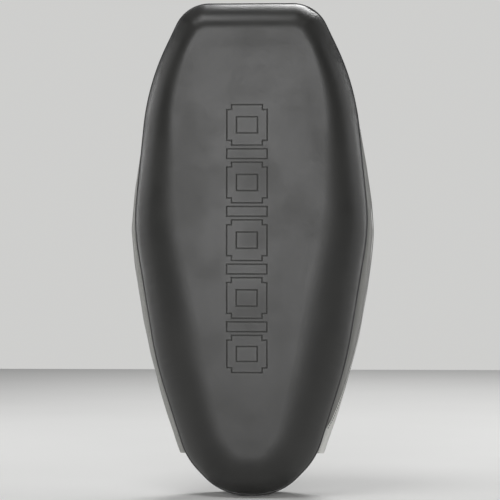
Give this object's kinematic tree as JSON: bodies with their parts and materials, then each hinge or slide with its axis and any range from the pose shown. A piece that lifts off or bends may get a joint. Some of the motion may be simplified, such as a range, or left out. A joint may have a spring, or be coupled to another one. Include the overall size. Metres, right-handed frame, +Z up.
{
  "type": "kick shield",
  "caption": "Long padded kick shield with a smooth rolled face, grey side pads, rolled grips, padded forearm straps and a zip at the back.",
  "frame": {"origin": "middle of the back panel's outer face, between the two grips, where the forearms rest", "axes": "+Z up along the pad's length, +Y out of the back panel towards the holder, -Y out of the striking face, +X to the right seen from the front"},
  "size_m": [0.304, 0.151, 0.6136],
  "materials": {
    "black_leatherette": "satin",
    "piping_vinyl": "satin",
    "grey_leatherette": "satin",
    "pale_leatherette": "satin",
    "patch_leatherette": "satin",
    "grip_leatherette": "satin",
    "black_webbing": "matte",
    "strap_lining": "matte",
    "hook_and_loop": "matte",
    "nickel_steel": "satin",
    "soft_foam": "matte",
    "firm_foam": "matte",
    "sheet_plastic": "matte",
    "zip_tape": "matte",
    "zip_teeth": "satin",
    "zip_metal": "satin"
  },
  "bodies": {
    "pad": {"front_cover": "black_leatherette", "impact_foam": "soft_foam", "core_foam": "firm_foam", "stiffening_sheet": "sheet_plastic", "back_cover": "black_leatherette", "boxing_top": "black_leatherette", "boxing_bottom": "black_leatherette", "boxing_left": "black_leatherette", "boxing_right": "black_leatherette", "front_piping": "piping_vinyl", "back_piping": "piping_vinyl", "side_pad_left": "grey_leatherette", "side_pad_right": "grey_leatherette", "side_pad_right_tail": "pale_leatherette", "grip_patches": "patch_leatherette", "carry_patches": "patch_leatherette", "rivets": "nickel_steel", "rivet_washers": "nickel_steel", "vent_eyelets": "nickel_steel", "upper_strap_webbing": "black_webbing", "upper_strap_lining": "strap_lining", "upper_strap_ring": "nickel_steel", "upper_strap_anchor": "black_webbing", "lower_strap_webbing": "black_webbing", "lower_strap_lining": "strap_lining", "lower_strap_ring": "nickel_steel", "lower_strap_anchor": "black_webbing", "zip_tapes": "zip_tape", "zip_teeth": "zip_teeth", "zip_stops": "zip_teeth"},
    "grip_left": {"grip_left_core": "black_webbing", "grip_left_sleeve": "grip_leatherette"},
    "grip_right": {"grip_right_core": "black_webbing", "grip_right_sleeve": "grip_leatherette"},
    "carry_handle": {"carry_core": "black_webbing", "carry_sleeve": "grip_leatherette"},
    "upper_tail": {"upper_strap_tail": "hook_and_loop"},
    "lower_tail": {"lower_strap_tail": "hook_and_loop"},
    "zip_slider": {"zip_slider": "zip_metal"},
    "zip_pull": {"zip_pull": "zip_metal"}
  },
  "joints": [
    {"name": "grip_left_swing", "type": "hinge", "parent": "pad", "child": "grip_left", "pos_m": [-0.055, 0.0088, 0.01], "axis": [0, 0, 1], "range_deg": [-65, 65]},
    {"name": "grip_right_swing", "type": "hinge", "parent": "pad", "child": "grip_right", "pos_m": [0.055, 0.0088, 0.01], "axis": [0, 0, 1], "range_deg": [-65, 65]},
    {"name": "carry_swing", "type": "hinge", "parent": "pad", "child": "carry_handle", "pos_m": [0, 0.0088, 0.246], "axis": [1, 0, 0], "range_deg": [-65, 65]},
    {"name": "upper_tail_peel", "type": "hinge", "parent": "pad", "child": "upper_tail", "pos_m": [0.06649, 0.01669, 0.152], "axis": [0, 0, -1], "range_deg": [0, 100]},
    {"name": "lower_tail_peel", "type": "hinge", "parent": "pad", "child": "lower_tail", "pos_m": [0.06649, 0.01669, -0.128], "axis": [0, 0, -1], "range_deg": [0, 100]},
    {"name": "zip_slide", "type": "slide", "parent": "pad", "child": "zip_slider", "axis": [-1, 0, 0], "range_m": [0, 0.13]},
    {"name": "pull_flip", "type": "hinge", "parent": "zip_slider", "child": "zip_pull", "pos_m": [0.0682, 0.0062, -0.218], "axis": [0, 0, 1], "range_deg": [0, 160]}
  ]
}
